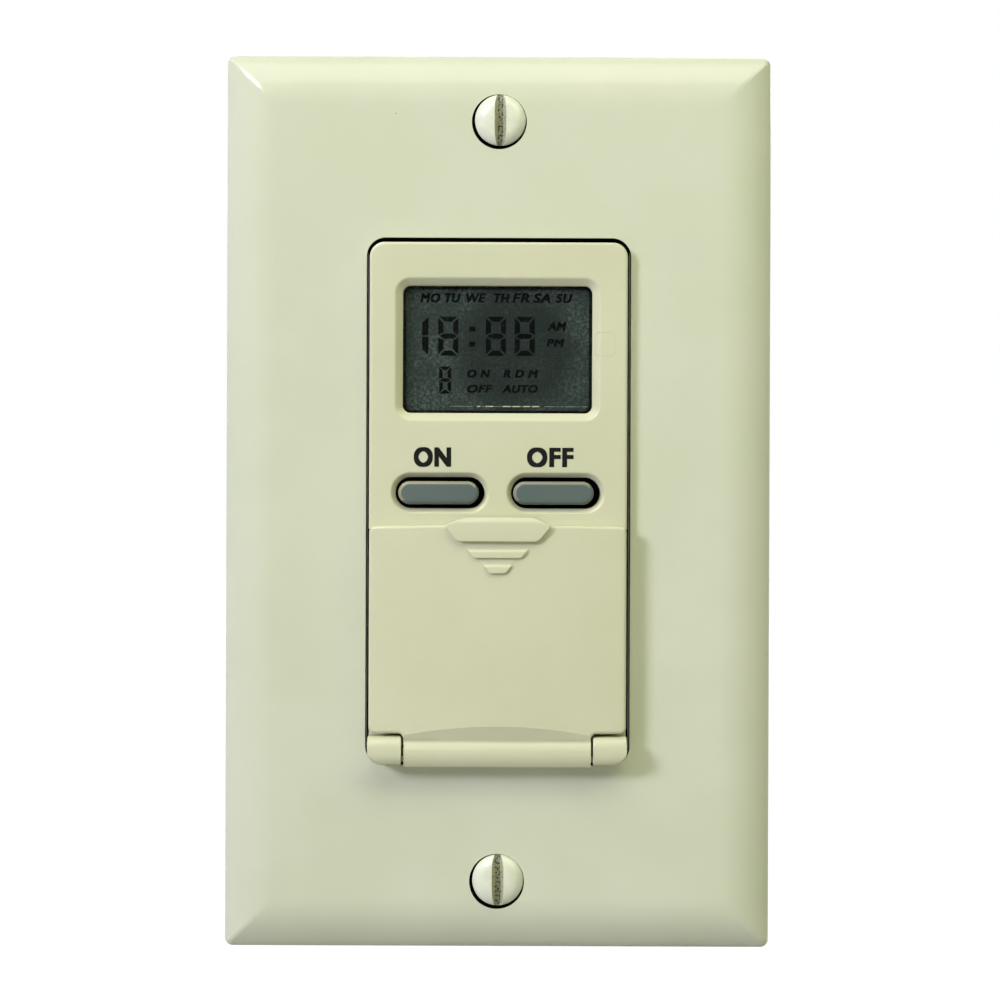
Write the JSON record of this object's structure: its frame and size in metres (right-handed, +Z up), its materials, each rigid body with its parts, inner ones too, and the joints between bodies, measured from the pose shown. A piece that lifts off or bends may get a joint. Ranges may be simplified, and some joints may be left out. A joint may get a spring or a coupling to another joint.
{
  "type": "timer light switch",
  "caption": "In-wall programmable timer switch: ivory wall plate, display window, ON and OFF push buttons and a flip-down door over the programming keys.",
  "frame": {"origin": "centre of the wall-box screw pattern, on the strap's rear face, which is the plane of the wall", "axes": "+Z up, +X to the right seen from the front, +Y into the wall; the front faces -Y"},
  "size_m": [0.0698, 0.0373, 0.1142],
  "materials": {
    "ivory_plate": "gloss",
    "ivory_screw": "satin",
    "ivory_face": "satin",
    "steel": "satin",
    "ground_green": "satin",
    "clear_window": "gloss",
    "lcd_glass": "gloss",
    "holder_white": "satin",
    "connector_rubber": "matt",
    "button_grey": "satin",
    "key_grey": "satin",
    "black_plastic": "matt",
    "cell_steel": "satin",
    "brass": "satin",
    "board_green": "satin",
    "relay_blue": "satin",
    "coil_copper": "satin",
    "capacitor_yellow": "satin",
    "capacitor_can": "satin",
    "varistor_blue": "satin",
    "housing_black": "matt"
  },
  "bodies": {
    "device": {"wall_plate": "ivory_plate", "plate_screws": "ivory_screw", "mounting_strap": "steel", "ground_screw": "ground_green", "front_bezel": "ivory_face", "display_lens": "clear_window", "display_glass": "lcd_glass", "display_holder": "holder_white", "zebra_strips": "connector_rubber", "hinge_pin": "steel", "switch_bodies": "black_plastic", "coin_cell": "cell_steel", "battery_holder": "black_plastic", "battery_contacts": "brass", "control_board": "board_green", "microcontroller": "black_plastic", "clock_crystal": "cell_steel", "header_strip": "black_plastic", "header_pins": "brass", "power_board": "board_green", "relay_base": "black_plastic", "relay_cover": "relay_blue", "relay_coil": "coil_copper", "relay_yoke": "steel", "relay_contacts": "brass", "film_capacitor": "capacitor_yellow", "smoothing_capacitor": "capacitor_can", "surge_varistor": "varistor_blue", "board_spacers": "steel", "board_screws": "steel", "rear_housing": "housing_black", "housing_screws": "steel", "terminal_plates": "brass", "terminal_screws": "brass"},
    "door": {"access_door": "ivory_face"},
    "battery_door": {"battery_cap": "key_grey"},
    "armature": {"relay_armature": "steel"},
    "on_push": {"on_button": "button_grey", "on_plunger": "black_plastic"},
    "off_push": {"off_button": "button_grey", "off_plunger": "black_plastic"},
    "reset_push": {"reset_button": "key_grey", "reset_plunger": "black_plastic"},
    "day_push": {"day_key": "key_grey", "day_plunger": "black_plastic"},
    "hour_push": {"hour_key": "key_grey", "hour_plunger": "black_plastic"},
    "minute_push": {"minute_key": "key_grey", "minute_plunger": "black_plastic"},
    "mode_push": {"mode_key": "key_grey", "mode_plunger": "black_plastic"},
    "program_push": {"program_key": "key_grey", "program_plunger": "black_plastic"},
    "clock_push": {"clock_key": "key_grey", "clock_plunger": "black_plastic"}
  },
  "joints": [
    {"name": "door_hinge", "type": "hinge", "parent": "device", "child": "door", "pos_m": [0, -0.0071, -0.03165], "axis": [1, 0, 0], "range_deg": [0, 165]},
    {"name": "battery_cap_turn", "type": "hinge", "parent": "device", "child": "battery_door", "pos_m": [-0.0068, 0, -0.0195], "axis": [0, -1, 0], "range_deg": [0, 45]},
    {"name": "armature_pivot", "type": "hinge", "parent": "device", "child": "armature", "pos_m": [0, 0.0104, -0.0061], "axis": [1, 0, 0], "range_deg": [0, 2.5], "stiffness_Nm_per_rad": 0.01, "springref_deg": -1.15},
    {"name": "on_press", "type": "slide", "parent": "device", "child": "on_push", "axis": [0, 1, 0], "range_m": [0, 0.0007], "stiffness_N_per_m": 1500, "springref_m": -0.0003},
    {"name": "off_press", "type": "slide", "parent": "device", "child": "off_push", "axis": [0, 1, 0], "range_m": [0, 0.0007], "stiffness_N_per_m": 1500, "springref_m": -0.0003},
    {"name": "reset_press", "type": "slide", "parent": "device", "child": "reset_push", "axis": [0, 1, 0], "range_m": [0, 0.0005], "stiffness_N_per_m": 1500, "springref_m": -0.0003},
    {"name": "day_press", "type": "slide", "parent": "device", "child": "day_push", "axis": [0, 1, 0], "range_m": [0, 0.0005], "stiffness_N_per_m": 1500, "springref_m": -0.0003},
    {"name": "hour_press", "type": "slide", "parent": "device", "child": "hour_push", "axis": [0, 1, 0], "range_m": [0, 0.0005], "stiffness_N_per_m": 1500, "springref_m": -0.0003},
    {"name": "minute_press", "type": "slide", "parent": "device", "child": "minute_push", "axis": [0, 1, 0], "range_m": [0, 0.0005], "stiffness_N_per_m": 1500, "springref_m": -0.0003},
    {"name": "mode_press", "type": "slide", "parent": "device", "child": "mode_push", "axis": [0, 1, 0], "range_m": [0, 0.0005], "stiffness_N_per_m": 1500, "springref_m": -0.0003},
    {"name": "program_press", "type": "slide", "parent": "device", "child": "program_push", "axis": [0, 1, 0], "range_m": [0, 0.0005], "stiffness_N_per_m": 1500, "springref_m": -0.0003},
    {"name": "clock_press", "type": "slide", "parent": "device", "child": "clock_push", "axis": [0, 1, 0], "range_m": [0, 0.0005], "stiffness_N_per_m": 1500, "springref_m": -0.0003}
  ]
}
